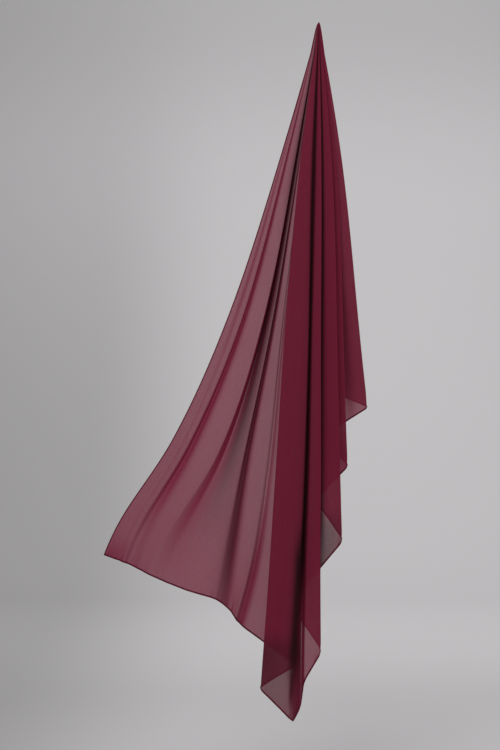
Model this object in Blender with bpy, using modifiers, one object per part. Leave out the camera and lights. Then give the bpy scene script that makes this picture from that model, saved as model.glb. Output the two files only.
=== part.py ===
"""Hijab headscarf of plain chiffon, hung by one corner and falling in a cascade of pleats.

Metres, +Z up. The origin is the corner that is held. The front is towards -Y.
The cloth is a rectangle. A line on it that leaves the held corner at the cut angle c, counted
from the left hem, reaches the far hems after flat_radius(c), and hangs in one direction, given by
a side angle (to the right) and a depth angle (to the back). All folds run from the held corner,
so the section at one distance from it lies on a sphere and is the same zigzag further down,
changed a little by the table below.
"""

from collections import namedtuple

import bpy
import numpy as np

CUT_LONG = 1.80  # the left hem, from the held corner down
CUT_SHORT = 1.10  # the short hems
WALL = 0.0012  # the cloth's wall in these solids
HEM_THICK = 0.0022  # over the rolled hem
HEM_WIDTH = 0.0045
SEAM = 0.0003  # between pieces that meet
LAYER_STEP = 0.0016  # from one layer to the next where two walls meet at a fold
TIP_LENGTH = 0.10  # of the gathered corner, where the layers lie on each other
LEAST_BEND = 0.0015  # half the cloth length that a crease turns over
ROWS = 15  # from the gathered corner to the hem
WIDE_CUT = 1.2  # degrees of the cut: columns further apart get one between them
PLEAT_COLUMNS = 6  # across a stretch with no crease of its own
BOW = 0.25  # degrees that a pleat bellies out to the back between its folds
LEAN = -0.8  # degrees added to all depth angles, so that the cloth hangs under its corner in depth

SIDE_AT = (0.30, 0.90, 1.35, 1.65, 2.05)  # distances from the held corner for Fold.side
DEPTH_AT = (0.30, 1.20, 2.05)  # and for Fold.depth

# cut: cut angle. side, depth: angles at the distances above. bend: half the cut angle that a
# crease turns over. layer: of the cloth that starts here, 0 at the front. reach: how much of the
# flat length is left from the held corner to the hem. All angles in degrees.
Fold = namedtuple("Fold", "name cut side depth bend layer reach")
FOLDS = (
    Fold("left_hem", 0.0, (-15.8, -17.05, -19.4, -21.9, -21.6), (1.0, 2.5, 5.0), 0.6, 2, 0.981),
    Fold("a_left", 1.9, (-13.6, -14.6, -17.6, -20.4, -20.6), (0.3, 2.0, 4.6), 0.8, 2, 0.979),
    Fold("a_right", 3.4, (-12.9, -13.7, -16.4, -18.9, -19.2), (1.6, 3.2, 5.1), 0.8, 2, 0.979),
    Fold("b_left", 6.3, (-9.7, -10.7, -13.1, -16.0, -17.6), (-0.2, 1.4, 4.0), 0.8, 2, 0.979),
    Fold("b_right", 8.2, (-9.0, -9.9, -12.0, -14.6, -15.4), (2.2, 3.2, 4.2), 0.8, 2, 0.979),
    Fold("c_left", 11.2, (-8.2, -8.9, -9.8, -10.2, -10.4), (-0.4, 0.8, 3.0), 0.8, 2, 0.975),
    Fold("c_right", 13.0, (-7.6, -8.2, -8.9, -8.9, -9.0), (1.4, 2.2, 2.6), 0.8, 2, 0.979),
    Fold("d_left", 15.2, (-6.9, -7.0, -6.9, -7.0, -7.8), (-0.8, 0.2, 1.2), 0.8, 2, 0.987),
    Fold("d_right", 16.8, (-6.2, -6.4, -6.2, -6.3, -6.9), (0.6, 1.0, 1.6), 0.8, 2, 0.990),
    Fold("behind_a", 23.3, (-3.2, -2.8, -2.6, -2.5, -2.5), (-1.3, -0.9, -0.6), 0.35, 1, 0.997),
    Fold("front_a", 27.9, (-8.3, -6.7, -5.8, -5.45, -5.2), (-3.6, -3.3, -2.6), 0.35, 0, 0.993),
    Fold("a_edge", 31.1, (-3.0, -2.05, -2.0, -2.2, -2.45), (-3.7, -3.2, -2.4), 0.2, 0, 1.003),
    Fold("valley", 32.1, (-2.2, -1.75, -1.75, -1.7, -1.6), (-2.1, -1.8, -1.2), 0.3, 0, 1.003),
    Fold("b_edge", 33.5, (-1.1, -1.4, -1.3, -1.4, -1.35), (-3.6, -3.0, -1.9), 0.3, 0, 1.002),
    Fold("right_4", 35.3, (0.6, 0.2, 0.13, 0.1, 0.2), (-3.2, -2.6, -1.6), 0.25, 1, 1.002),
    Fold("back_d", 38.2, (-2.5, -2.4, -2.4, -2.4, -2.4), (-0.8, -0.5, 0.0), 0.3, 2, 1.0),
    Fold("right_3", 44.0, (6.0, 3.6, 2.85, 2.65, 2.65), (0.0, 0.8, 1.4), 0.3, 3, 1.0),
    Fold("back_e", 48.8, (-0.4, -0.4, -0.4, -0.4, -0.4), (1.3, 2.2, 2.8), 0.3, 4, 1.0),
    Fold("right_2", 53.85, (8.0, 4.9, 3.95, 3.9, 3.9), (2.4, 3.5, 4.0), 0.3, 5, 1.0),
    Fold("back_f", 59.6, (0.4, 0.4, 0.4, 0.4, 0.4), (3.6, 4.8, 5.2), 0.3, 6, 1.0),
    Fold("right_1", 67.3, (10.4, 8.0, 7.55, 7.5, 7.5), (4.8, 6.2, 6.6), 0.3, 7, 1.0),
    Fold("back_g", 77.0, (0.6, 0.6, 0.6, 0.6, 0.6), (6.0, 7.6, 8.0), 0.3, 8, 1.0),
    Fold("right_h", 83.5, (3.2, 3.2, 3.2, 3.2, 3.2), (7.2, 8.8, 9.2), 0.3, 9, 1.0),
    Fold("far_hem", 90.0, (-1.2, -1.2, -1.2, -1.2, -1.2), (8.4, 10.0, 10.4), 0.3, 9, 1.0),
)

# Each stretch of cloth between two sharp folds is one wall. hemmed: its first or last side is a
# free edge of the cloth.
Stretch = namedtuple("Stretch", "name first last hemmed")
STRETCHES = (
    Stretch("fan_panel", "left_hem", "behind_a", "first"),
    Stretch("return_panel", "behind_a", "front_a", ""),
    Stretch("front_panel", "front_a", "right_4", ""),
    Stretch("pleat_1", "right_4", "back_d", ""),
    Stretch("pleat_2", "back_d", "right_3", ""),
    Stretch("pleat_3", "right_3", "back_e", ""),
    Stretch("pleat_4", "back_e", "right_2", ""),
    Stretch("pleat_5", "right_2", "back_f", ""),
    Stretch("pleat_6", "back_f", "right_1", ""),
    Stretch("pleat_7", "right_1", "back_g", ""),
    Stretch("pleat_8", "back_g", "right_h", ""),
    Stretch("pleat_9", "right_h", "far_hem", "last"),
)

# How a wall grows into its rolled hem: how far in from the edge, in hem widths, and how much of
# the hem's extra thickness it has there.
HemStep = namedtuple("HemStep", "inward rolled")
HEM_STEPS = (HemStep(2.0, 0.0), HemStep(0.9, 1.0), HemStep(0.0, 1.0))
HEM_ROOM = 3.0  # hem widths that the rows of a hem take
MOST_HEM_ANGLE = 0.5  # degrees of the cut that a hem's width takes near the held corner

# The gathered corner: the blunt end's width at a few distances from the top.
TipRing = namedtuple("TipRing", "distance width")
TIP_RINGS = (
    TipRing(0.0012, 0.004),
    TipRing(0.006, 0.009),
    TipRing(0.024, 0.019),
    TipRing(0.055, 0.0305),
)
TIP_STATIONS = 28  # across the gathered corner
TIP_SAMPLES = 400  # across one stretch, to find the outline round all layers

MAROON = (0.105, 0.006, 0.020)


def along(distance, knots, values):
    """A smooth cubic through the values at the knots, straight beyond them."""
    knots, values = np.asarray(knots), np.asarray(values)
    slope = np.gradient(values, knots)
    i = np.clip(np.searchsorted(knots, distance) - 1, 0, len(knots) - 2)
    width = knots[i + 1] - knots[i]
    t = (distance - knots[i]) / width
    u = np.clip(t, 0, 1)
    inside = (
        (2 * u**3 - 3 * u**2 + 1) * values[i]
        + (u**3 - 2 * u**2 + u) * width * slope[i]
        + (3 * u**2 - 2 * u**3) * values[i + 1]
        + (u**3 - u**2) * width * slope[i + 1]
    )
    before = np.minimum(distance - knots[0], 0) * slope[0]
    after = np.maximum(distance - knots[-1], 0) * slope[-1]
    return inside + before + after


def creased(cut, nodes, values, bends):
    """Straight runs between the nodes, each inner corner rounded by a parabola over its bend."""
    slope = (values[1] - values[0]) / (nodes[1] - nodes[0])
    result = values[0] + slope * (cut - nodes[0])
    for k in range(1, len(nodes) - 1):
        next_slope = (values[k + 1] - values[k]) / (nodes[k + 1] - nodes[k])
        x = cut - nodes[k]
        rounded = (x + bends[k]) ** 2 / (4 * bends[k])
        ramp = np.where(x < -bends[k], 0, np.where(x > bends[k], x, rounded))
        result = result + (next_slope - slope) * ramp
        slope = next_slope
    return result


def flat_radius(cut):
    """From the held corner to the far hems of the flat rectangle, along a cut angle."""
    angle = np.radians(cut)
    to_bottom = CUT_LONG / np.maximum(np.cos(angle), 1e-9)
    to_side = CUT_SHORT / np.maximum(np.sin(angle), 1e-9)
    return np.minimum(to_bottom, to_side)


def hem_distance(cut, folds):
    """As flat_radius, less what the hanging cloth takes up in soft waves."""
    reach = creased(cut, [f.cut for f in folds], [f.reach for f in folds], [f.bend for f in folds])
    return flat_radius(cut) * reach


def cloth_points(cut, distance, folds):
    """Points of one stretch's middle surface, for arrays of cut angle and distance."""
    nodes = [f.cut for f in folds]
    bends = [np.maximum(f.bend, np.degrees(LEAST_BEND / distance)) for f in folds]
    side = creased(cut, nodes, [along(distance, SIDE_AT, f.side) for f in folds], bends)
    depth = creased(cut, nodes, [along(distance, DEPTH_AT, f.depth) for f in folds], bends)
    if len(folds) == 2:
        across = (cut - nodes[0]) / (nodes[1] - nodes[0])
        depth = depth + BOW * np.sin(np.pi * across)
    side, depth = np.radians(side), np.radians(depth + LEAN)
    step = LAYER_STEP * (folds[0].layer - FOLDS[-1].layer / 2)
    return np.stack(
        [
            distance * np.sin(side) * np.cos(depth),
            distance * np.sin(depth) + step * np.minimum(distance / TIP_LENGTH, 1),
            -distance * np.cos(side) * np.cos(depth),
        ],
        axis=-1,
    )


def folds_of(stretch):
    names = [f.name for f in FOLDS]
    return FOLDS[names.index(stretch.first) : names.index(stretch.last) + 1]


def columns_of(folds):
    """Cut angles across a stretch: its folds, the ends of their bends and points between."""
    if len(folds) == 2:
        return np.linspace(folds[0].cut, folds[1].cut, PLEAT_COLUMNS)
    cuts = [folds[0].cut, folds[-1].cut]
    for fold in folds[1:-1]:
        cuts += [fold.cut - fold.bend, fold.cut, fold.cut + fold.bend]
    cuts = sorted(cuts)
    between = [(a + b) / 2 for a, b in zip(cuts, cuts[1:]) if b - a > WIDE_CUT]
    return np.array(sorted(cuts + between))


def wall_grid(stretch):
    """The stretch's middle surface as (points, how much of each is rolled hem)."""
    folds = folds_of(stretch)
    columns = [(cut, 0.0, 0.0) for cut in columns_of(folds)]
    if stretch.hemmed == "first":
        columns[:1] = [(folds[0].cut, s.inward, s.rolled) for s in reversed(HEM_STEPS)]
    if stretch.hemmed == "last":
        columns[-1:] = [(folds[-1].cut, -s.inward, s.rolled) for s in HEM_STEPS]
    cut, inward, rolled_side = np.array(columns).T[:, :, None]
    hem = hem_distance(cut, folds)
    start = TIP_LENGTH + SEAM
    t = np.linspace(0, 1, ROWS)[None, :]
    plain_rows = start + (hem - HEM_ROOM * HEM_WIDTH - start) * t
    hem_rows = hem - HEM_WIDTH * np.array([[s.inward for s in HEM_STEPS]])
    distance = np.concatenate([plain_rows, hem_rows], axis=1)
    rolled_row = np.array([0.0] * ROWS + [s.rolled for s in HEM_STEPS])[None, :]
    rolled = np.maximum(rolled_side, rolled_row)
    if stretch.hemmed != "first":
        rolled[0] = 0.0
    if stretch.hemmed != "last":
        rolled[-1] = 0.0
    cut = cut + inward * np.minimum(np.degrees(HEM_WIDTH / distance), MOST_HEM_ANGLE)
    return cloth_points(cut, distance, folds), rolled


def fabric():
    material = bpy.data.materials.new("chiffon")
    material.use_nodes = True
    shader = material.node_tree.nodes["Principled BSDF"]
    shader.inputs["Base Color"].default_value = (*MAROON, 1.0)
    shader.inputs["Roughness"].default_value = 0.8
    shader.inputs["Metallic"].default_value = 0.0
    return material


def add_object(name, points, faces, material, collection):
    mesh = bpy.data.meshes.new(name)
    mesh.from_pydata([tuple(p) for p in points.tolist()], [], faces)
    mesh.shade_smooth()
    obj = bpy.data.objects.new(name, mesh)
    obj.data.materials.append(material)
    collection.objects.link(obj)
    return obj


def grid_faces(columns, rows):
    return [
        (i * rows + j, i * rows + j + 1, (i + 1) * rows + j + 1, (i + 1) * rows + j)
        for i in range(columns - 1)
        for j in range(rows - 1)
    ]


def add_wall(stretch, material, collection):
    """An open surface, thickened to both sides and more over its rolled hems."""
    points, rolled = wall_grid(stretch)
    columns, rows = rolled.shape
    faces = grid_faces(columns, rows)
    obj = add_object(stretch.name, points.reshape(-1, 3), faces, material, collection)
    group = obj.vertex_groups.new(name="rolled_hem")
    for weight in (0.0, 1.0):
        where = np.flatnonzero(rolled.ravel() == weight)
        group.add(where.tolist(), weight, "REPLACE")
    solidify = obj.modifiers.new("wall", "SOLIDIFY")
    solidify.thickness = HEM_THICK
    solidify.offset = 0.0
    solidify.vertex_group = group.name
    solidify.thickness_vertex_group = WALL / HEM_THICK
    return obj


def tip_outline():
    """The outline round all layers at TIP_LENGTH: (points along the front, along the back)."""
    layers = []
    for stretch in STRETCHES:
        folds = folds_of(stretch)
        cut = np.linspace(folds[0].cut, folds[-1].cut, TIP_SAMPLES)
        layers.append(cloth_points(cut, np.full(cut.shape, TIP_LENGTH), folds))
    layers = np.concatenate(layers)
    x = np.linspace(layers[:, 0].min(), layers[:, 0].max(), TIP_STATIONS)
    near = (x[1] - x[0]) / 2
    here = [layers[np.abs(layers[:, 0] - station) <= near, 1] for station in x]
    front = np.array([y.min() for y in here]) - WALL / 2
    back = np.array([y.max() for y in here]) + WALL / 2
    return [
        np.stack([x, y, -np.sqrt(TIP_LENGTH**2 - x**2 - y**2)], axis=-1) for y in (front, back)
    ]


def add_tip(material, collection):
    """The gathered corner: rings of that outline, narrowing to a blunt end."""
    front, back = tip_outline()
    width = front[-1, 0] - front[0, 0]
    ring = np.concatenate([front, back[::-1]])
    rows = (*TIP_RINGS, TipRing(TIP_LENGTH, width))
    rings = [ring * (r.width / width, r.width / width, r.distance / TIP_LENGTH) for r in rows]
    points = np.concatenate(rings)
    count = len(ring)
    last = (len(rings) - 1) * count
    sides = []
    for base in range(0, last, count):
        for i in range(count):
            j = (i + 1) % count
            sides.append((base + i, base + count + i, base + count + j, base + j))
    caps = []
    for base, flip in ((0, False), (last, True)):
        for i in range(TIP_STATIONS - 1):
            quad = (base + i, base + i + 1, base + count - 2 - i, base + count - 1 - i)
            caps.append(quad[::-1] if flip else quad)
    return add_object("gathered_tip", points, sides + caps, material, collection)


def main():
    for obj in list(bpy.data.objects):
        bpy.data.objects.remove(obj, do_unlink=True)
    collection = bpy.data.collections.new("hijab_headscarf")
    bpy.context.scene.collection.children.link(collection)
    material = fabric()
    add_tip(material, collection)
    for stretch in STRETCHES:
        add_wall(stretch, material, collection)


main()
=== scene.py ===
"""Looks of the hijab headscarf: one rectangle of sheer maroon chiffon, hung by a corner.

Metres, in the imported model's frame: the held corner is the origin, +Z is up and -Y is the front.
The cloth is one thin sheet on the form of the CAD walls. A point of it is given by its cut angle,
counted in degrees at the held corner from the left hem, and by its distance from that corner.
"""

from __future__ import annotations

import logging
import math
from dataclasses import dataclass
from enum import Enum
from typing import Any, Sequence

import bpy
import numpy as np
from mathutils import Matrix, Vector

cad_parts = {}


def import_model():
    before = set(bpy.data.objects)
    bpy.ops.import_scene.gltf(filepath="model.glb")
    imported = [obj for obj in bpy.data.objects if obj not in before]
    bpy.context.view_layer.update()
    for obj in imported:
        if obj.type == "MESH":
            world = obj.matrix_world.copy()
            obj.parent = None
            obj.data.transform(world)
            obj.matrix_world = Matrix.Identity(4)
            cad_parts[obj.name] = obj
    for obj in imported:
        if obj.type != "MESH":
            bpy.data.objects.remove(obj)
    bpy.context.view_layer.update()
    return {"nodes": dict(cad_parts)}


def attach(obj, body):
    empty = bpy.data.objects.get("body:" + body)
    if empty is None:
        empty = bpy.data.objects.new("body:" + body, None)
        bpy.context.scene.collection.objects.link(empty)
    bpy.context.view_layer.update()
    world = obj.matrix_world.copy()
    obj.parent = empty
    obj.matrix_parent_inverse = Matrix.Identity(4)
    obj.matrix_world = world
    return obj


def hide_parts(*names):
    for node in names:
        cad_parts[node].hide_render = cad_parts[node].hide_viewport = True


Array = np.ndarray
log = logging.getLogger("hijab_headscarf")

BODY = "root"
# the cloth's attribute of painted shade, which darkens its threads' colour
PAINTED_SHADE = "painted_shade"
CLOSED = "closed"


class HemSide(Enum):
    """The four sides of the cut rectangle, each with a rolled hem of its own."""

    LEFT = "left"
    LOWER = "lower"
    CASCADE = "cascade"
    FAR = "far"


@dataclass(frozen=True)
class Fold:
    """A fold or crease line from the held corner to a far hem.

    cut is its cut angle; side and depth are the directions in which it hangs, in degrees to the
    right and to the back, at Drape.side_at and Drape.depth_at; bend is half the cut angle that the
    crease turns over; layer is the layer of the cloth that starts here; reach is how much of the
    flat length is left from the corner to the hem.
    """

    name: str
    cut: float
    side: tuple[float, float, float, float, float]
    depth: tuple[float, float, float]
    bend: float
    layer: int
    reach: float


@dataclass(frozen=True)
class Crease:
    """A soft ridge or trough that runs along the cloth for part of its length.

    cut is its cut angle at start and end, in degrees; start and end are distances from the held
    corner; half_width is in degrees of the cut; height is in degrees of depth, less than nothing
    for a ridge towards the front.
    """

    name: str
    cut: tuple[float, float]
    start: float
    end: float
    half_width: float
    height: float


@dataclass(frozen=True)
class PaintedShadeBand:
    """A band along a fold with painted shade, for the shade in the deep folds where layers lie
    close together, and a closed weave.

    cut is the cut angle of its middle line; before and after are its widths towards lower and
    higher cut angles, in degrees; start and end are distances from the held corner, and it eases in
    and out over fade metres there. painted_shade is painted shade that stands for how little light
    gets in, and closed is how little passes through, both from 0 to 1.
    """

    name: str
    cut: float
    before: float
    after: float
    start: float
    end: float
    painted_shade: float
    closed: float
    fade: float = 0.30


FOLDS = (
    Fold("left_hem", 0.0, (-15.8, -17.05, -19.4, -21.9, -21.6), (1.0, 2.5, 5.0), 0.6, 2, 0.981),
    Fold(
        "hem_trough_left", 0.9, (-15.0, -15.95, -18.6, -21.0, -20.7),
        (0.85, 2.3, 4.9), 0.3, 2, 0.980,
    ),
    Fold(
        "hem_trough", 1.25, (-14.85, -15.75, -18.25, -20.65, -20.4),
        (1.3, 2.6, 4.85), 0.3, 2, 0.980,
    ),
    Fold(
        "hem_trough_right", 1.6, (-14.7, -15.55, -17.9, -20.3, -20.1),
        (0.8, 2.2, 4.8), 0.3, 2, 0.979,
    ),
    Fold("a_left", 2.2, (-13.5, -14.4, -17.2, -19.8, -19.7), (0.6, 2.1, 4.7), 0.25, 2, 0.979),
    Fold("a_trough", 2.95, (-13.3, -14.15, -16.8, -19.2, -19.1), (1.6, 3.1, 4.6), 0.35, 2, 0.979),
    Fold("a_right", 3.7, (-12.9, -13.7, -16.2, -18.4, -18.5), (0.6, 2.1, 4.6), 0.5, 2, 0.979),
    Fold("b_left", 5.9, (-9.65, -10.55, -13.2, -16.7, -17.2), (0.0, 1.5, 4.1), 0.2, 2, 0.979),
    Fold("b_trough", 8.1, (-9.35, -10.1, -12.35, -14.9, -15.8), (2.3, 2.9, 3.6), 0.5, 2, 0.979),
    Fold("b_right", 10.3, (-8.75, -9.5, -11.0, -12.4, -13.4), (0.3, 1.5, 3.4), 0.6, 2, 0.977),
    Fold("c_left", 11.3, (-8.2, -8.85, -9.9, -10.3, -10.4), (-0.3, 0.9, 2.9), 0.3, 2, 0.975),
    Fold("c_trough", 12.1, (-8.05, -8.65, -9.5, -9.5, -9.3), (0.5, 1.7, 2.8), 0.35, 2, 0.979),
    Fold("c_right", 12.9, (-7.8, -8.3, -9.0, -8.8, -8.5), (-0.3, 0.8, 2.4), 0.4, 2, 0.983),
    Fold("d_left", 15.0, (-7.0, -7.0, -6.75, -7.15, -9.2), (-0.6, 0.4, 1.5), 0.4, 2, 0.986),
    Fold("d_trough", 15.7, (-6.85, -6.8, -6.4, -6.8, -8.8), (-0.2, 0.9, 1.9), 0.35, 2, 0.988),
    Fold("d_right", 16.5, (-6.5, -6.4, -5.95, -6.25, -8.1), (-0.6, 0.3, 1.2), 0.4, 2, 0.990),
    Fold("behind_a", 23.3, (-2.7, -2.4, -2.1, -2.0, -2.0), (-1.3, -0.9, -0.6), 0.35, 1, 0.997),
    Fold("front_a", 27.9, (-8.3, -6.7, -5.8, -5.45, -5.2), (-3.6, -3.3, -2.6), 0.35, 0, 0.993),
    Fold("a_edge", 31.1, (-3.6, -2.15, -2.05, -2.2, -2.45), (-3.7, -3.2, -2.4), 0.2, 0, 1.003),
    Fold("valley", 32.1, (-2.4, -1.78, -1.72, -1.8, -1.6), (-2.0, -1.8, -1.2), 0.3, 0, 1.003),
    Fold("b_edge", 33.5, (-1.0, -1.35, -1.3, -1.45, -1.35), (-3.6, -3.0, -1.9), 0.3, 0, 1.002),
    Fold("right_4", 35.3, (1.15, 0.38, 0.26, 0.17, 0.22), (-3.2, -2.6, -1.6), 0.25, 1, 1.002),
    Fold("back_d", 38.2, (-3.6, -3.1, -2.95, -2.9, -2.4), (-0.8, -0.5, 0.0), 0.3, 2, 1.0),
    Fold("right_3", 44.0, (6.0, 3.6, 2.85, 2.65, 2.65), (0.0, 0.8, 1.4), 0.3, 3, 1.0),
    Fold("back_e", 48.8, (-0.4, -0.4, -0.4, -0.4, -0.4), (1.3, 2.2, 2.8), 0.3, 4, 1.0),
    Fold("right_2", 53.85, (8.0, 4.9, 3.95, 3.9, 3.9), (2.4, 3.5, 4.0), 0.3, 5, 1.0),
    Fold("back_f", 59.6, (0.4, 0.4, 0.4, 0.4, 0.4), (3.6, 4.8, 5.2), 0.3, 6, 1.0),
    Fold("right_1", 67.3, (10.4, 8.0, 7.55, 7.5, 7.5), (4.8, 6.2, 6.6), 0.3, 7, 1.0),
    Fold("back_g", 77.0, (0.6, 0.6, 0.6, 0.6, 0.6), (6.0, 7.6, 8.0), 0.3, 8, 1.0),
    Fold("right_h", 83.5, (3.2, 3.2, 3.2, 3.2, 3.2), (7.2, 8.8, 9.2), 0.3, 9, 1.0),
    Fold("far_hem", 90.0, (-1.2, -1.2, -1.2, -1.2, -1.2), (8.4, 10.0, 10.4), 0.3, 9, 1.0),
)
SHARP_FOLDS = (
    "behind_a", "front_a", "right_4", "back_d", "right_3", "back_e", "right_2", "back_f",
    "right_1", "back_g", "right_h",
)

CREASES = (
    Crease("fan_behind_furrow", (19.4, 20.1), 0.40, 2.00, 0.90, 0.22),
    Crease("return_ridge", (25.3, 25.8), 0.50, 1.90, 0.70, 0.12),
    Crease("front_soft_furrow", (29.4, 29.3), 0.70, 2.15, 0.55, 0.10),
    Crease("front_right_ridge", (34.3, 34.4), 0.60, 1.70, 0.30, -0.08),
    Crease("pleat_2_furrow", (41.0, 41.6), 0.45, 1.50, 0.80, 0.16),
    Crease("pleat_4_ridge", (51.2, 50.9), 0.40, 1.20, 0.60, -0.14),
    Crease("pleat_6_furrow", (63.1, 63.9), 0.35, 1.10, 1.10, 0.20),
    Crease("pleat_7_ridge", (71.4, 70.6), 0.30, 1.05, 1.20, -0.18),
    Crease("far_hem_furrow", (86.6, 87.1), 0.45, 1.05, 0.90, 0.24),
)

# Bands of painted shade, for the shade in deep folds, beside fold edges and in the windows, and of
# closed weave: name, cut, before, after, start, end, painted_shade, closed, fade.
PAINTED_SHADE_BANDS = (
    PaintedShadeBand("hem_trough", 1.25, 0.40, 0.40, 0.30, 1.12, 0.05, 0.50),
    PaintedShadeBand("a_trough", 2.95, 0.60, 0.65, 0.05, 1.74, 0.0, 0.80),
    PaintedShadeBand("b_trough", 7.9, 1.10, 1.30, -0.30, 1.36, 0.98, 1.0, 0.45),
    PaintedShadeBand("b_top_edge", 6.6, 1.20, 1.10, -0.30, 0.72, 0.92, 0.95),
    PaintedShadeBand("b_shoulder", 9.9, 1.30, 1.40, -0.30, 1.74, 0.64, 0.0, 0.5),
    PaintedShadeBand("b_top_shoulder", 9.9, 1.30, 1.50, -0.30, 0.95, 0.40, 0.0, 0.5),
    PaintedShadeBand("b_low_stripe", 7.3, 1.10, 1.20, 1.05, 1.80, 0.0, 0.70),
    PaintedShadeBand("c_trough", 12.1, 0.70, 0.75, 0.20, 2.10, 0.72, 0.90, 0.5),
    PaintedShadeBand("d_trough", 15.7, 0.75, 0.75, 1.40, 2.25, 0.22, 0.85),
    PaintedShadeBand("hem_corner", 0.9, 1.40, 1.60, 1.66, 2.20, 0.08, 0.70, 0.12),
    PaintedShadeBand("return_soft_fold", 20.2, 1.20, 1.60, 0.90, 2.10, 0.05, 0.35),
    PaintedShadeBand("a_edge_turn", 31.2, 0.25, 0.60, -0.30, 2.00, 0.2, 1.0),
    PaintedShadeBand("valley", 32.1, 1.00, 1.25, -0.60, 1.86, 1.0, 1.0, 0.25),
    PaintedShadeBand("valley_low", 31.0, 0.50, 0.95, 1.50, 2.05, 0.93, 1.0, 0.14),
    PaintedShadeBand("right_strip", 31.9, 0.50, 0.75, 1.80, 2.50, 0.32, 0.95),
    PaintedShadeBand("beside_right_4", 41.4, 0.55, 0.40, -0.30, 1.80, 1.0, 1.0),
    PaintedShadeBand("beside_right_3", 52.4, 0.70, 0.50, -0.30, 0.85, 0.50, 0.6),
    PaintedShadeBand("window_3_shade", 42.4, 2.4, 1.6, 1.46, 2.00, 0.68, 0.0, 0.10),
    PaintedShadeBand("window_2_shade", 53.2, 1.5, 1.0, 1.22, 1.70, 0.10, 0.78, 0.10),
    PaintedShadeBand("beside_right_2", 64.4, 0.9, 1.0, 0.60, 1.40, 0.45, 0.8, 0.35),
    PaintedShadeBand("right_1_front", 63.8, 3.6, 3.2, -0.30, 1.20, 0.0, 0.55, 0.10),
    PaintedShadeBand("below_fan", 28.8, 4.2, 3.4, 1.84, 2.60, 0.52, 0.0, 0.07),
    PaintedShadeBand("bottom_turn", 31.0, 0.20, 0.40, 1.92, 2.10, 0.60, 0.95, 0.07),
    PaintedShadeBand("low_front", 31.5, 3.6, 3.6, 1.55, 2.90, 0.14, 0.0, 0.50),
)


def along(distance: Array, knots: Sequence[float], values: Sequence[float]) -> Array:
    """A smooth cubic through the values at the knots, straight beyond them.

    Args:
        distance: where it is wanted.
        knots: rising distances.
        values: one value at each knot.

    Returns:
        The value at each distance: the cubic Hermite piece whose slopes at the knots are those
        of the neighbouring chords.
    """
    at, value = np.asarray(knots), np.asarray(values)
    slope = np.gradient(value, at)
    i = np.clip(np.searchsorted(at, distance) - 1, 0, len(at) - 2)
    width = at[i + 1] - at[i]
    u = np.clip((distance - at[i]) / width, 0, 1)
    inside = (
        (2 * u**3 - 3 * u**2 + 1) * value[i]
        + (u**3 - 2 * u**2 + u) * width * slope[i]
        + (3 * u**2 - 2 * u**3) * value[i + 1]
        + (u**3 - u**2) * width * slope[i + 1]
    )
    before = np.minimum(distance - at[0], 0) * slope[0]
    after = np.maximum(distance - at[-1], 0) * slope[-1]
    return inside + before + after


def creased(
    cut: Array, nodes: Sequence[float], values: Sequence[Any], bends: Sequence[Any]
) -> Array:
    """Straight runs between the nodes, each inner corner rounded by a parabola over its bend.

    Args:
        cut: cut angles.
        nodes: the cut angles of the corners, first and last included.
        values: the value at each node.
        bends: half the cut angle that each corner turns over.

    Returns:
        The value at each cut angle: a chord's slope, plus at each corner its change of slope times
        a ramp, which is (x + b)^2 / 4b from -b to b, 0 before and x after.
    """
    slope = (values[1] - values[0]) / (nodes[1] - nodes[0])
    result = values[0] + slope * (cut - nodes[0])
    for k in range(1, len(nodes) - 1):
        next_slope = (values[k + 1] - values[k]) / (nodes[k + 1] - nodes[k])
        x = cut - nodes[k]
        rounded = (x + bends[k]) ** 2 / (4 * bends[k])
        ramp = np.where(x < -bends[k], 0, np.where(x > bends[k], x, rounded))
        result = result + (next_slope - slope) * ramp
        slope = next_slope
    return result


def sine(run: Array, length: float, phase: float) -> Array:
    """A sine wave along a run: its length, and its phase in radians where the run is 0."""
    return np.sin(2 * np.pi * run / length + phase)


def eased(x: Array) -> Array:
    """From 0 to 1 as x goes from 0 to 1, level at both ends: x^2 (3 - 2x)."""
    x = np.clip(x, 0, 1)
    return x * x * (3 - 2 * x)


def unit(vectors: Array) -> Array:
    """The vectors, each made one long."""
    return vectors / np.maximum(np.linalg.norm(vectors, axis=-1, keepdims=True), 1e-12)


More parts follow.
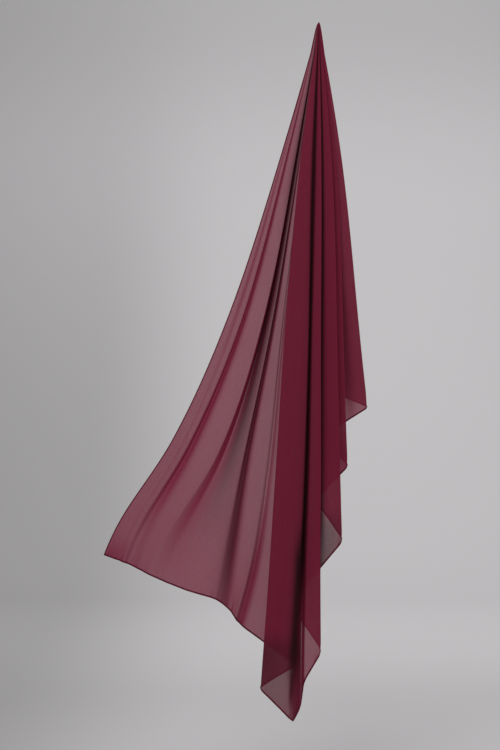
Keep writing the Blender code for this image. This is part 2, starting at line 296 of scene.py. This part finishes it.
@dataclass(frozen=True)
class Drape:
    """How the flat rectangle hangs, as a function of cut angle and distance.

    side_at, depth_at and tip_at are the distances at which a fold's side and depth and the tip's
    width are given. wave_* are the slow waves down the cloth; ripple_* and swell_* are the puckers
    along a sewn hem and how they grow and fade along it; tick_* are small marks of painted shade
    and of closed weave beside the puckers, and group_* are the groups that these come in. A pair
    holds the value of each of two sines.
    """

    cut_long: float = 1.80
    cut_short: float = 1.10
    side_at: tuple[float, ...] = (0.30, 0.90, 1.35, 1.65, 2.05)
    depth_at: tuple[float, ...] = (0.30, 1.20, 2.05)
    least_bend: float = 0.0022
    layer_step: float = 0.0016
    middle_layer: float = 4.5
    lean: float = -0.8
    bow: float = 0.25
    tip_length: float = 0.10
    tip_at: tuple[float, ...] = (0.0012, 0.006, 0.024, 0.055, 0.10)
    tip_width: tuple[float, ...] = (0.004, 0.009, 0.019, 0.0305, 0.046)
    wave: float = 0.10
    wave_shares: tuple[float, float] = (1.0, 0.5)
    wave_lengths: tuple[float, float] = (0.83, 0.37)
    wave_slants: tuple[float, float] = (41.0, -23.0)
    wave_phases: tuple[float, float] = (0.4, 1.9)
    wave_start: float = 0.5
    pucker: float = 0.0016
    pucker_fade: float = 0.030
    ripple_shares: tuple[float, float] = (1.0, 0.7)
    ripple_lengths: tuple[float, float] = (0.047, 0.029)
    ripple_phases: tuple[float, float] = (0.7, 2.0)
    swell_means: tuple[float, float] = (0.6, 0.0)
    swell_shares: tuple[float, float] = (0.4, 1.0)
    swell_lengths: tuple[float, float] = (0.31, 0.43)
    swell_phases: tuple[float, float] = (0.0, 1.0)
    group_length: float = 0.37
    group_phase: float = 0.6
    group_mean: float = 0.35
    group_share: float = 0.9
    tick_pitch: float = 0.0145
    tick_drift: float = 0.6
    tick_drift_length: float = 0.021
    tick_sharpness: int = 6
    tick_length: float = 0.018
    # painted shade of the pucker marks
    tick_painted_shade: float = 0.5
    tick_closed: float = 0.8
    open_bend: float = 0.0110
    open_length: float = 0.045

    @property
    def corner_cut(self) -> float:
        """The cut angle at which the corner opposite the held one lies."""
        return math.degrees(math.atan2(self.cut_short, self.cut_long))

    def flat_radius(self, cut: Array) -> Array:
        """From the held corner to the far sides of the flat rectangle, along a cut angle."""
        angle = np.radians(cut)
        to_lower = self.cut_long / np.maximum(np.cos(angle), 1e-9)
        to_cascade = self.cut_short / np.maximum(np.sin(angle), 1e-9)
        return np.minimum(to_lower, to_cascade)

    def reach(self, cut: Array) -> Array:
        """How much of the flat length is left after what soft waves take up."""
        return creased(
            cut, [f.cut for f in FOLDS], [f.reach for f in FOLDS], [f.bend for f in FOLDS]
        )

    def hem_distance(self, cut: Array) -> Array:
        """From the held corner to the far hems of the hanging cloth."""
        return self.flat_radius(cut) * self.reach(cut)

    def layer(self, cut: Array, distance: Array) -> Array:
        """The layer that a point lies in, which changes by eased steps over the sharp folds."""
        result = np.full(np.broadcast(cut, distance).shape, float(FOLDS[0].layer))
        before = FOLDS[0].layer
        for fold in FOLDS:
            if fold.name in SHARP_FOLDS:
                least = np.degrees(self.least_bends(cut, distance) / distance)
                half = np.maximum(fold.bend, least)
                result += (fold.layer - before) * eased((cut - fold.cut) / (2 * half) + 0.5)
                before = fold.layer
        return result

    def bellied(self, cut: Array) -> Array:
        """How far, from 0 to 1, a point is into the belly of the pleat that it lies in."""
        result = np.zeros(cut.shape)
        edges = [f.cut for f in FOLDS if f.name in SHARP_FOLDS] + [FOLDS[-1].cut]
        for low, high in zip(edges, edges[1:]):
            if any(low < f.cut < high for f in FOLDS):
                continue
            result += np.sin(np.pi * np.clip((cut - low) / (high - low), 0, 1))
        return result

    def small_creases(self, cut: Array, distance: Array) -> Array:
        """The depth angle that the soft creases add: a bell across each, eased at both ends."""
        result = np.zeros(np.broadcast(cut, distance).shape)
        for crease in CREASES:
            t = (distance - crease.start) / (crease.end - crease.start)
            middle = crease.cut[0] + (crease.cut[1] - crease.cut[0]) * np.clip(t, 0, 1)
            across = np.exp(-(((cut - middle) / crease.half_width) ** 2))
            result += crease.height * across * eased(3 * t) * eased(3 * (1 - t))
        return result

    def painted_shade_and_closed(self, cut: Array, distance: Array) -> tuple[Array, Array]:
        """How much painted shade and how closed the cloth is, 0 to 1: bells across the listed
        bands.

        Args:
            cut: cut angles.
            distance: distances from the held corner.

        Returns:
            painted_shade and closed. Where two bells overlap they are laid over each other, and
            short painted marks of shade and closing beside the puckers at the sewn hems add to
            both.
        """
        light = np.ones(np.broadcast(cut, distance).shape)
        gaps = np.ones(light.shape)
        for band in PAINTED_SHADE_BANDS:
            width = np.where(cut < band.cut, band.before, band.after)
            bell = np.exp(-(((cut - band.cut) / width) ** 2))
            bell *= eased((distance - band.start) / band.fade)
            bell *= eased((band.end - distance) / band.fade)
            # painted shade: each band darkens the threads' colour, for the shade in the deep folds
            light *= 1 - band.painted_shade * bell
            gaps *= 1 - band.closed * bell
        ticks = self.pucker_ticks(cut, distance)
        painted_shade = 1 - light * (1 - self.tick_painted_shade * ticks)
        return painted_shade, 1 - gaps * (1 - self.tick_closed * ticks)

    def pucker_ticks(self, cut: Array, distance: Array) -> Array:
        """Narrow marks of painted shade and closed weave beside the hem's puckers, 0 to 1: the
        crests of two sines, in uneven groups.
        """
        run = np.radians(cut) * self.flat_radius(cut)
        group = sine(run, self.group_length, self.group_phase)
        groups = eased(self.group_mean + self.group_share * group)
        drift = self.tick_drift * np.sin(run / self.tick_drift_length)
        crest = np.maximum(sine(run / self.tick_pitch + drift, 1.0, 0.0), 0) ** self.tick_sharpness
        inward = self.hem_distance(cut) - distance
        return groups * crest * np.exp(-np.maximum(inward, 0) / self.tick_length)

    def least_bends(self, cut: Array, distance: Array) -> Array:
        """Half the width in metres that a fold turns over: it opens up towards the far hems."""
        inward = np.maximum(self.hem_distance(cut) - distance, 0)
        return self.least_bend + self.open_bend * np.exp(-inward / self.open_length)

    def waves(self, cut: Array, distance: Array) -> Array:
        """The depth angle of slow, uneven waves down the cloth, a sum of two sines."""
        total = np.zeros(np.broadcast(cut, distance).shape)
        for share, length, slant, phase in zip(
            self.wave_shares, self.wave_lengths, self.wave_slants, self.wave_phases
        ):
            total += share * sine(distance / length + cut / slant, 1.0, phase)
        return self.wave * total * eased(distance / self.wave_start)

    def puckers(self, cut: Array, distance: Array) -> Array:
        """Metres of depth that the sewn hem's uneven puckers add, fading away from the far hems."""
        run = np.radians(cut) * self.flat_radius(cut)
        ripple = np.zeros(run.shape)
        for k in range(2):
            swell = sine(run, self.swell_lengths[k], self.swell_phases[k])
            swell = self.swell_means[k] + self.swell_shares[k] * swell
            one = sine(run, self.ripple_lengths[k], self.ripple_phases[k])
            ripple += self.ripple_shares[k] * one * swell
        inward = self.hem_distance(cut) - distance
        return self.pucker * ripple * np.exp(-np.maximum(inward, 0) / self.pucker_fade)

    def points(self, cut: Array, distance: Array) -> Array:
        """The cloth in space.

        Args:
            cut: cut angles in degrees.
            distance: distances from the held corner, of a shape that goes with cut's.

        Returns:
            Points of shape (..., 3): (r sin s cos d, r sin d + layer, -r cos s cos d) for the
            side angle s and depth angle d. Within tip_length they are the section at tip_length,
            drawn together to the width of the blunt end.
        """
        cut, distance = np.broadcast_arrays(np.asarray(cut, float), np.asarray(distance, float))
        r = np.maximum(distance, self.tip_length)
        nodes = [f.cut for f in FOLDS]
        least = np.degrees(self.least_bends(cut, r) / r)
        bends = [np.maximum(f.bend, least if f.name in SHARP_FOLDS else 0.0) for f in FOLDS]
        side = creased(cut, nodes, [along(r, self.side_at, f.side) for f in FOLDS], bends)
        depth = creased(cut, nodes, [along(r, self.depth_at, f.depth) for f in FOLDS], bends)
        depth = depth + self.lean + self.bow * self.bellied(cut)
        depth = depth + self.small_creases(cut, r) + self.waves(cut, r)
        side, depth = np.radians(side), np.radians(depth)
        offset = self.layer_step * (self.layer(cut, r) - self.middle_layer)
        section = np.stack(
            [
                r * np.sin(side) * np.cos(depth),
                r * np.sin(depth) + offset + self.puckers(cut, distance),
                -r * np.cos(side) * np.cos(depth),
            ],
            axis=-1,
        )
        inner = np.minimum(distance, self.tip_length)
        narrow = np.interp(inner, self.tip_at, self.tip_width) / self.tip_width[-1]
        lower = inner / self.tip_length
        return section * np.stack([narrow, narrow, lower], axis=-1)


class Wire:
    """An output socket on a bench, on which expressions add Math nodes."""

    def __init__(self, bench: "Bench", socket: bpy.types.NodeSocket) -> None:
        """Keeps the bench and the socket."""
        self.bench = bench
        self.socket = socket

    def _math(self, operation: str, *values: Any) -> "Wire":
        """One Math node on these values."""
        return self.bench.add(
            "ShaderNodeMath", {"operation": operation}, dict(enumerate(values))
        )

    def __add__(self, other: Any) -> "Wire":
        """self + other."""
        return self._math("ADD", self, other)

    def __radd__(self, other: Any) -> "Wire":
        """other + self."""
        return self._math("ADD", other, self)

    def __rsub__(self, other: Any) -> "Wire":
        """other - self."""
        return self._math("SUBTRACT", other, self)

    def __mul__(self, other: Any) -> "Wire":
        """self * other."""
        return self._math("MULTIPLY", self, other)

    def __rmul__(self, other: Any) -> "Wire":
        """other * self."""
        return self._math("MULTIPLY", other, self)

    def __truediv__(self, other: Any) -> "Wire":
        """self / other."""
        return self._math("DIVIDE", self, other)

    def __rtruediv__(self, other: Any) -> "Wire":
        """other / self."""
        return self._math("DIVIDE", other, self)

    def __pow__(self, other: Any) -> "Wire":
        """self to the power of other."""
        return self._math("POWER", self, other)

    def at_least(self, low: float) -> "Wire":
        """The greater of self and low."""
        return self._math("MAXIMUM", self, low)


class Bench:
    """A material's node tree, on which a finish is put together."""

    def __init__(self, name: str) -> None:
        """Makes an empty material of that name."""
        self.material = bpy.data.materials.new(name)
        self.material.use_nodes = True
        self.tree = self.material.node_tree
        self.tree.nodes.clear()

    def add(
        self,
        kind: str,
        settings: dict[str, Any] | None = None,
        sockets: dict[Any, Any] | None = None,
        output: Any = 0,
    ) -> Wire:
        """Adds one node.

        Args:
            kind: the node's type.
            settings: its properties, set first.
            sockets: values or wires for its inputs, by name or number.
            output: the name or number of the output that is wanted.

        Returns:
            That output as a wire.
        """
        node = self.tree.nodes.new(kind)
        for key, value in (settings or {}).items():
            setattr(node, key, value)
        for key, value in (sockets or {}).items():
            if isinstance(value, Wire):
                self.tree.links.new(value.socket, node.inputs[key])
            else:
                node.inputs[key].default_value = value
        return Wire(self, node.outputs[output])

    def tone(
        self, share: Wire, low: Sequence[float], high: Sequence[float] | Wire
    ) -> Wire:
        """A colour between low, where share is 0, and high, where it is 1."""
        ends = [end if isinstance(end, Wire) else (*end, 1.0) for end in (low, high)]
        return self.add(
            "ShaderNodeMix", {"data_type": "RGBA"}, {0: share, 6: ends[0], 7: ends[1]}, 2
        )

    def bands(self, across: Wire, axis: str, pitch: float, distortion: float) -> Wire:
        """Bands across an axis, at that pitch: a wave of scale s repeats each pi / (10 s)."""
        return self.add(
            "ShaderNodeTexWave",
            {"wave_type": "BANDS", "bands_direction": axis, "wave_profile": "SIN"},
            {
                "Vector": across,
                "Scale": math.pi / 10 / pitch,
                "Distortion": distortion,
                "Detail": 1.0,
            },
            "Fac",
        )

    def finish(self, surface: Wire) -> bpy.types.Material:
        """Links the surface to the material's output."""
        output = self.tree.nodes.new("ShaderNodeOutputMaterial")
        self.tree.links.new(surface.socket, output.inputs["Surface"])
        return self.material


@dataclass(frozen=True)
class ChiffonFinish:
    """Sheer maroon chiffon: matt threads with gaps between them that light passes.

    passes is what one layer lets through, square on. A slanted layer lets through that to the
    power of 1 / cosine, as any open weave does, so folds seen edge-on close up. The weave_* say
    how even that is. The cloth's attribute closed shuts the gaps, by the share closes at most, and
    its attribute painted_shade is painted shade: it dims the threads and their glow, to the share
    deepest_painted_shade of their colour at most.
    """

    thread: tuple[float, float, float] = (0.185, 0.0165, 0.043)
    glow: tuple[float, float, float] = (0.60, 0.028, 0.150)
    glow_share: float = 0.30
    passes: float = 0.147
    least_cosine: float = 0.12
    weave_mean: float = 0.50
    weave_slubs: float = 0.84
    weave_clouds: float = 0.16
    cloud_scale: float = 9.0
    uneven: float = 0.14
    rib_pitch: float = 0.0034558
    rib_distortion: float = 1.2
    slub_height: float = 1.5
    slub_length: float = 0.010
    slub_width: float = 0.0022
    closes: float = 0.96
    deepest_painted_shade: float = 0.05

    def dress(self) -> bpy.types.Material:
        """Builds the cloth's material."""
        bench = Bench("maroon_chiffon")
        cut_map = bench.add("ShaderNodeUVMap", {"uv_map": "cut"}, {})
        slub_map = bench.add(
            "ShaderNodeMapping",
            {},
            {"Vector": cut_map, "Scale": (1 / self.slub_length, 1 / self.slub_width, 1.0)},
        )
        slub = bench.add(
            "ShaderNodeTexNoise",
            {"noise_dimensions": "2D"},
            {"Vector": slub_map, "Scale": 1.0, "Detail": 3.0, "Roughness": 0.6},
        )
        cloud = bench.add(
            "ShaderNodeTexNoise",
            {"noise_dimensions": "2D"},
            {"Vector": cut_map, "Scale": self.cloud_scale, "Detail": 2.0, "Roughness": 0.5},
        )
        painted_shade = bench.add("ShaderNodeAttribute", {"attribute_name": PAINTED_SHADE}, {}, "Fac")
        closed = bench.add("ShaderNodeAttribute", {"attribute_name": CLOSED}, {}, "Fac")
        facing = bench.add("ShaderNodeLayerWeight", {}, {"Blend": 0.5}, "Facing")
        slant = 1.0 / (1.0 - facing).at_least(self.least_cosine)
        weave = self.weave_mean + self.weave_slubs * slub + self.weave_clouds * cloud
        passes = self.passes * weave * (1.0 - self.closes * closed)
        opacity = 1.0 - passes**slant
        warp, weft = (
            bench.bands(cut_map, axis, self.rib_pitch, self.rib_distortion) for axis in "XY"
        )
        normal = bench.add(
            "ShaderNodeBump",
            {},
            {
                "Strength": 0.25,
                "Distance": 0.0003,
                "Height": warp + weft + self.slub_height * slub,
            },
            "Normal",
        )
        tone = bench.tone(
            slub,
            [(1 - self.uneven) * c for c in self.thread],
            [(1 + self.uneven) * c for c in self.thread],
        )
        # painted shade: the threads' colour darkened towards deepest_painted_shade by the
        # painted_shade attribute
        painted_shade_tone = bench.tone(1.0 - painted_shade, [self.deepest_painted_shade * c for c in self.thread], tone)
        threads = bench.add(
            "ShaderNodeBsdfPrincipled",
            {},
            {
                "Base Color": painted_shade_tone,
                "Roughness": 0.85,
                "Specular IOR Level": 0.12,
                "Normal": normal,
            },
            "BSDF",
        )
        glow = bench.add(
            "ShaderNodeBsdfTranslucent", {}, {"Color": (*self.glow, 1.0)}, "BSDF"
        )
        # painted shade also takes away the glow's share
        woven = bench.add(
            "ShaderNodeMixShader",
            {},
            {0: self.glow_share * (1.0 - painted_shade), 1: threads, 2: glow},
            "Shader",
        )
        gaps = bench.add("ShaderNodeBsdfTransparent", {}, {}, "BSDF")
        sheer = bench.add("ShaderNodeMixShader", {}, {0: opacity, 1: gaps, 2: woven}, "Shader")
        return bench.finish(sheer)


@dataclass(frozen=True)
class RolledHemFinish:
    """The hem: three turns of the same cloth, closed and darker, with small stitches across."""

    thread: tuple[float, float, float] = (0.095, 0.0060, 0.019)
    darkest: float = 0.8
    lightest: float = 1.15
    stitch_pitch: float = 0.0075398
    stitch_distortion: float = 0.6

    def dress(self) -> bpy.types.Material:
        """Builds the hems' material."""
        bench = Bench("rolled_chiffon_hem")
        run_map = bench.add("ShaderNodeUVMap", {"uv_map": "run"}, {})
        stitches = bench.bands(run_map, "X", self.stitch_pitch, self.stitch_distortion)
        tone = bench.tone(
            stitches,
            [self.darkest * c for c in self.thread],
            [self.lightest * c for c in self.thread],
        )
        normal = bench.add(
            "ShaderNodeBump",
            {},
            {"Strength": 0.5, "Distance": 0.0004, "Height": stitches},
            "Normal",
        )
        roll = bench.add(
            "ShaderNodeBsdfPrincipled",
            {},
            {
                "Base Color": tone,
                "Roughness": 0.8,
                "Specular IOR Level": 0.05,
                "Normal": normal,
            },
            "BSDF",
        )
        return bench.finish(roll)


@dataclass(frozen=True)
class BackdropFinish:
    """Pale grey studio paper.

    It has painted shade over its left part, deepest low down, a painted dusk at its top and painted
    light on the floor at the front.
    """

    paper: tuple[float, float, float] = (0.60, 0.59, 0.60)
    shade_low: float = 0.72
    shade_high: float = 0.97
    shade_heights: tuple[float, float] = (-2.20, 2.60)
    shade_across: tuple[float, float] = (-1.55, -0.30)
    dusk: float = 0.74
    dusk_heights: tuple[float, float] = (0.30, 2.20)
    floor_painted_light: float = 1.22
    front_depths: tuple[float, float] = (1.60, 3.80)

    def dress(self) -> bpy.types.Material:
        """Builds the backdrop's material."""
        bench = Bench("studio_paper")
        place = bench.add("ShaderNodeTexCoord", {}, {}, "Object")
        right, back, up = (
            bench.add("ShaderNodeSeparateXYZ", {}, {0: place}, axis) for axis in range(3)
        )
        # painted shade over the left part, deepest low down, and painted dusk at the top
        shade = self._ramp(bench, up, self.shade_heights, (self.shade_low, self.shade_high))
        left = self._ramp(bench, right, self.shade_across, (1.0, 0.0))
        dusk = self._ramp(bench, up, self.dusk_heights, (1.0, self.dusk))
        # painted light: the floor lighter towards the front
        floor = self._ramp(bench, back, self.front_depths, (self.floor_painted_light, 1.0))
        share = (1.0 - left * (1.0 - shade)) * dusk * floor / self.floor_painted_light
        tone = bench.tone(share, (0.0, 0.0, 0.0), [self.floor_painted_light * c for c in self.paper])
        paper = bench.add(
            "ShaderNodeBsdfPrincipled",
            {},
            {"Base Color": tone, "Roughness": 0.95, "Specular IOR Level": 0.0},
            "BSDF",
        )
        return bench.finish(paper)

    def _ramp(
        self,
        bench: Bench,
        place: Wire,
        ends: tuple[float, float],
        values: tuple[float, float],
    ) -> Wire:
        """A smooth step from one value to the other between two places."""
        return bench.add(
            "ShaderNodeMapRange",
            {"interpolation_type": "SMOOTHSTEP"},
            {0: place, 1: ends[0], 2: ends[1], 3: values[0], 4: values[1]},
        )


def add_grid(
    name: str,
    points: Array,
    uv_name: str,
    uv: Array,
    material: bpy.types.Material,
    around: bool = False,
    caps: bool = False,
) -> bpy.types.Object:
    """Makes a mesh object of a grid of points.

    Args:
        name: the object's name.
        points: of shape (columns, rows, 3).
        uv_name: the name of its UV map.
        uv: of shape (columns, rows, 2), in metres.
        material: its only material.
        around: joins the last row to the first, as on a tube.
        caps: closes a tube's two ends, each with one flat face.

    Returns:
        The object, at the origin, with smooth shading.
    """
    columns, rows = points.shape[:2]
    index = np.arange(columns * rows).reshape(columns, rows)
    here = index if around else index[:, :-1]
    up = np.roll(index, -1, axis=1) if around else index[:, 1:]
    quads = np.stack([here[:-1], up[:-1], up[1:], here[1:]], axis=-1).reshape(-1, 4)
    faces = quads.tolist()
    if caps:
        faces.append(index[0][::-1].tolist())
        faces.append(index[-1].tolist())
    mesh = bpy.data.meshes.new(name)
    mesh.from_pydata(points.reshape(-1, 3).tolist(), [], faces)
    corner = np.empty(len(mesh.loops), np.int32)
    mesh.loops.foreach_get("vertex_index", corner)
    layer = mesh.uv_layers.new(name=uv_name)
    layer.data.foreach_set("uv", uv.reshape(-1, 2)[corner].astype(np.float32).ravel())
    mesh.shade_smooth()
    mesh.materials.append(material)
    obj = bpy.data.objects.new(name, mesh)
    bpy.context.scene.collection.objects.link(obj)
    return obj


@dataclass
class ScarfCloth:
    """The chiffon itself: one sheet from the held corner to the hems."""

    drape: Drape
    column_step: float = 0.30
    fold_steps: tuple[float, ...] = (-1.6, -1.1, -0.75, -0.45, -0.2, 0.0, 0.2, 0.45, 0.75, 1.1, 1.6)
    least_step: float = 0.045
    tip_rows: int = 12
    body_rows: int = 118
    hem_rows: int = 18
    hem_zone: float = 0.06
    top: float = 0.0012

    def columns(self) -> Array:
        """Cut angles of the columns: an even step, closer over each fold, with the far corner."""
        cuts = [f.cut + f.bend * step for f in FOLDS for step in self.fold_steps]
        steps = round(FOLDS[-1].cut / self.column_step)
        cuts += np.linspace(0, FOLDS[-1].cut, steps + 1).tolist()
        fixed = [0.0, self.drape.corner_cut, 90.0, *[f.cut for f in FOLDS]]
        kept: list[float] = sorted(set(fixed))
        for cut in sorted(c for c in cuts if 0 < c < 90):
            if min(abs(cut - k) for k in kept) > self.least_step:
                kept.append(cut)
        return np.array(sorted(kept))

    def grid(self) -> tuple[Array, Array]:
        """Cut angle and distance of each point, rows closer at the top and at the hem."""
        cut = self.columns()[:, None]
        hem = self.drape.hem_distance(cut)
        tip = self.drape.tip_length
        top = self.top + (tip - self.top) * np.linspace(0, 1, self.tip_rows, endpoint=False)
        body = np.linspace(0, 1, self.body_rows, endpoint=False)
        low = np.linspace(0, 1, self.hem_rows)
        distance = np.concatenate(
            [
                np.repeat(top[None, :], len(cut), axis=0),
                tip + (hem - self.hem_zone - tip) * body[None, :],
                hem - self.hem_zone * (1 - low[None, :]),
            ],
            axis=1,
        )
        return np.repeat(cut, distance.shape[1], axis=1), distance

    def build(self, finish: ChiffonFinish) -> bpy.types.Object:
        """Makes the cloth, with its place in the flat rectangle as UV map."""
        cut, distance = self.grid()
        flat = distance / self.drape.reach(cut)
        angle = np.radians(cut)
        uv = np.stack([flat * np.sin(angle), -flat * np.cos(angle)], axis=-1)
        cloth = add_grid(
            "chiffon_cloth", self.drape.points(cut, distance), "cut", uv, finish.dress()
        )
        # painted shade and closed weave, stored on the cloth's points
        for name, values in zip((PAINTED_SHADE, CLOSED), self.drape.painted_shade_and_closed(cut, distance)):
            layer = cloth.data.attributes.new(name, "FLOAT", "POINT")
            layer.data.foreach_set("value", values.astype(np.float32).ravel())
        return cloth


@dataclass
class RolledHems:
    """The four rolled hems, each a closed roll along its side of the cloth."""

    drape: Drape
    width: float = 0.0050
    left_width: float = 0.0034
    thickness: float = 0.0018
    step: float = 0.004
    sides: int = 10
    top: float = 0.0035
    fold_reach: float = 1.4
    fold_points: int = 15
    little: float = 0.003
    blunt: float = 0.12
    overlap: float = 0.9

    def run(self, side: HemSide) -> tuple[Array, Array]:
        """Cut angle and distance of points along one side of the cloth."""
        corner = self.drape.corner_cut
        if side in (HemSide.LEFT, HemSide.FAR):
            edge = 0.0 if side is HemSide.LEFT else FOLDS[-1].cut
            hem = float(self.drape.hem_distance(np.array([edge]))[0])
            distance = np.linspace(self.top, hem, round((hem - self.top) / self.step))
            return np.full(distance.shape, edge), distance
        low, high = (0.0, corner) if side is HemSide.LOWER else (corner, FOLDS[-1].cut)
        folds = [f for f in FOLDS if low <= f.cut <= high]
        length = np.radians(high - low) * self.drape.cut_long
        near = np.linspace(-self.fold_reach, self.fold_reach, self.fold_points)
        cuts = [np.linspace(low, high, round(length / self.step))]
        cuts += [f.cut + f.bend * near for f in folds]
        cut = np.unique(np.round(np.concatenate(cuts), 3))
        cut = np.clip(cut[(cut >= low) & (cut <= high)], low, high)
        cut[0], cut[-1] = low, high
        return cut, self.drape.hem_distance(cut)

    def inward(self, side: HemSide, cut: Array, distance: Array) -> Array:
        """Points a little inside the cloth from those of its edge."""
        if side is HemSide.LEFT:
            return self.drape.points(cut + np.degrees(self.little / distance), distance)
        if side is HemSide.FAR:
            return self.drape.points(cut - np.degrees(self.little / distance), distance)
        return self.drape.points(cut, distance - self.little)

    def build_side(self, side: HemSide, material: bpy.types.Material) -> bpy.types.Object:
        """Makes one hem.

        Args:
            side: which side of the rectangle.
            material: the hem's finish.

        Returns:
            A tube whose section is a flat ellipse with its outer end on the cloth's edge: centre +
            width/2 cos a along the cloth + thickness/2 sin a across it, for a round the tube.
        """
        half = (self.left_width if side is HemSide.LEFT else self.width) / 2
        cut, distance = self.run(side)
        edge = self.drape.points(cut, distance)
        ahead = unit(np.gradient(edge, axis=0))
        into = self.inward(side, cut, distance) - edge
        into = unit(into - ahead * np.sum(into * ahead, axis=-1, keepdims=True))
        across = np.cross(ahead, into)
        run = np.concatenate([[0], np.cumsum(np.linalg.norm(np.diff(edge, axis=0), axis=1))])
        near_end = np.minimum(run, run[-1] - run) / half
        taper = np.sqrt(np.clip(1 - (1 - np.clip(near_end, 0, 1)) ** 2, self.blunt, 1))
        taper = taper[:, None, None]
        turn = np.linspace(0, 2 * np.pi, self.sides, endpoint=False)[None, :, None]
        points = (
            edge[:, None, :]
            + into[:, None, :] * half * (self.overlap - taper * np.cos(turn))
            + across[:, None, :] * taper * self.thickness / 2 * np.sin(turn)
        )
        uv = np.stack(
            np.broadcast_arrays(run[:, None], turn[..., 0] * self.thickness / 2), axis=-1
        )
        return add_grid(
            f"rolled_hem_{side.value}", points, "run", uv, material, around=True, caps=True
        )

    def build(self, finish: RolledHemFinish) -> list[bpy.types.Object]:
        """Makes all four hems."""
        material = finish.dress()
        return [self.build_side(side, material) for side in HemSide]


@dataclass(frozen=True)
class Lamp:
    """A soft square light: where it stands, the point that it faces, its side and its power."""

    name: str
    place: tuple[float, float, float]
    aim: tuple[float, float, float]
    size: float
    watts: float


WALL = 10.8
LAMPS = (
    Lamp("key_light", (-0.9, -4.4, 1.9), (-0.1, 0.0, -0.7), 1.6, 148.0),
    Lamp("side_light", (2.6, -3.8, 0.7), (0.0, 0.0, -0.8), 1.6, 52.0),
    Lamp("paper_light", (0.7, 4.5, 4.4), (0.7, WALL, -1.2), 4.0, 372.0),
)


@dataclass
class Studio:
    """Paper backdrop and floor in one sweep, soft lights and the camera."""

    floor: float = -2.62
    back: float = WALL
    sweep: float = 3.2
    half_width: float = 15.0
    front: float = -11.0
    top: float = 7.0
    floor_steps: int = 19
    sweep_steps: int = 24
    wall_steps: int = 8
    across_steps: int = 30
    surround: tuple[float, float, float] = (0.80, 0.79, 0.79)
    surround_strength: float = 0.30
    sensor_width: float = 36.0
    eye: tuple[float, float, float] = (-0.2102, -6.0, -1.0752)
    metres_high: float = 2.2843

    def backdrop(self, finish: BackdropFinish) -> bpy.types.Object:
        """Floor and wall: a profile of floor, quarter circle and wall, carried across."""
        arc = np.linspace(0, np.pi / 2, self.sweep_steps + 1)
        foot, rise = self.back - self.sweep, self.floor + self.sweep
        profile_y = np.concatenate(
            [
                np.linspace(self.front, foot, self.floor_steps + 1)[:-1],
                foot + self.sweep * np.sin(arc),
                np.full(self.wall_steps, self.back),
            ]
        )
        profile_z = np.concatenate(
            [
                np.full(self.floor_steps, self.floor),
                self.floor + self.sweep * (1 - np.cos(arc)),
                np.linspace(rise, self.top, self.wall_steps + 1)[1:],
            ]
        )
        across = np.linspace(-self.half_width, self.half_width, self.across_steps + 1)
        x, y = np.meshgrid(across, profile_y, indexing="ij")
        z = np.broadcast_to(profile_z, x.shape)
        points = np.stack([x, y, z], axis=-1)[::-1]
        return add_grid("studio_backdrop", points, "sweep", points[..., :2], finish.dress())

    def shine(self, lamp: Lamp) -> None:
        """Sets up one light."""
        data = bpy.data.lights.new(lamp.name, "AREA")
        data.shape = "SQUARE"
        data.size = lamp.size
        data.energy = lamp.watts
        light = bpy.data.objects.new(lamp.name, data)
        light.location = lamp.place
        towards = Vector(lamp.aim) - Vector(lamp.place)
        light.rotation_euler = towards.to_track_quat("-Z", "Y").to_euler()
        bpy.context.scene.collection.objects.link(light)

    def lights(self) -> None:
        """An even grey surround, and lights at the upper left, at the right and on the paper."""
        world = bpy.data.worlds.new("studio_surround")
        world.use_nodes = True
        shader = world.node_tree.nodes["Background"]
        shader.inputs["Color"].default_value = (*self.surround, 1.0)
        shader.inputs["Strength"].default_value = self.surround_strength
        bpy.context.scene.world = world
        for lamp in LAMPS:
            self.shine(lamp)

    def camera(self) -> None:
        """A level camera at the photograph's angle."""
        data = bpy.data.cameras.new("camera")
        data.sensor_width = self.sensor_width
        data.lens = data.sensor_width * -self.eye[1] / self.metres_high
        camera = bpy.data.objects.new("camera", data)
        camera.location = self.eye
        camera.rotation_euler = (math.pi / 2, 0.0, 0.0)
        bpy.context.scene.collection.objects.link(camera)
        bpy.context.scene.camera = camera

    def build(self) -> None:
        """Sets up the whole studio."""
        self.backdrop(BackdropFinish())
        self.lights()
        self.camera()
        bpy.context.scene.view_settings.view_transform = "Standard"


def main() -> None:
    """Builds the studio, the cloth and its hems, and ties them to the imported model."""
    logging.basicConfig(level=logging.INFO, format="%(name)s: %(message)s")
    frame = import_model()
    drape = Drape()
    Studio().build()
    cloth = ScarfCloth(drape).build(ChiffonFinish())
    hems = RolledHems(drape).build(RolledHemFinish())
    for piece in (cloth, *hems):
        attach(piece, BODY)
        log.info("%s: %d faces", piece.name, len(piece.data.polygons))
    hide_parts(*sorted(frame["nodes"]))


if __name__ == "__main__":
    main()
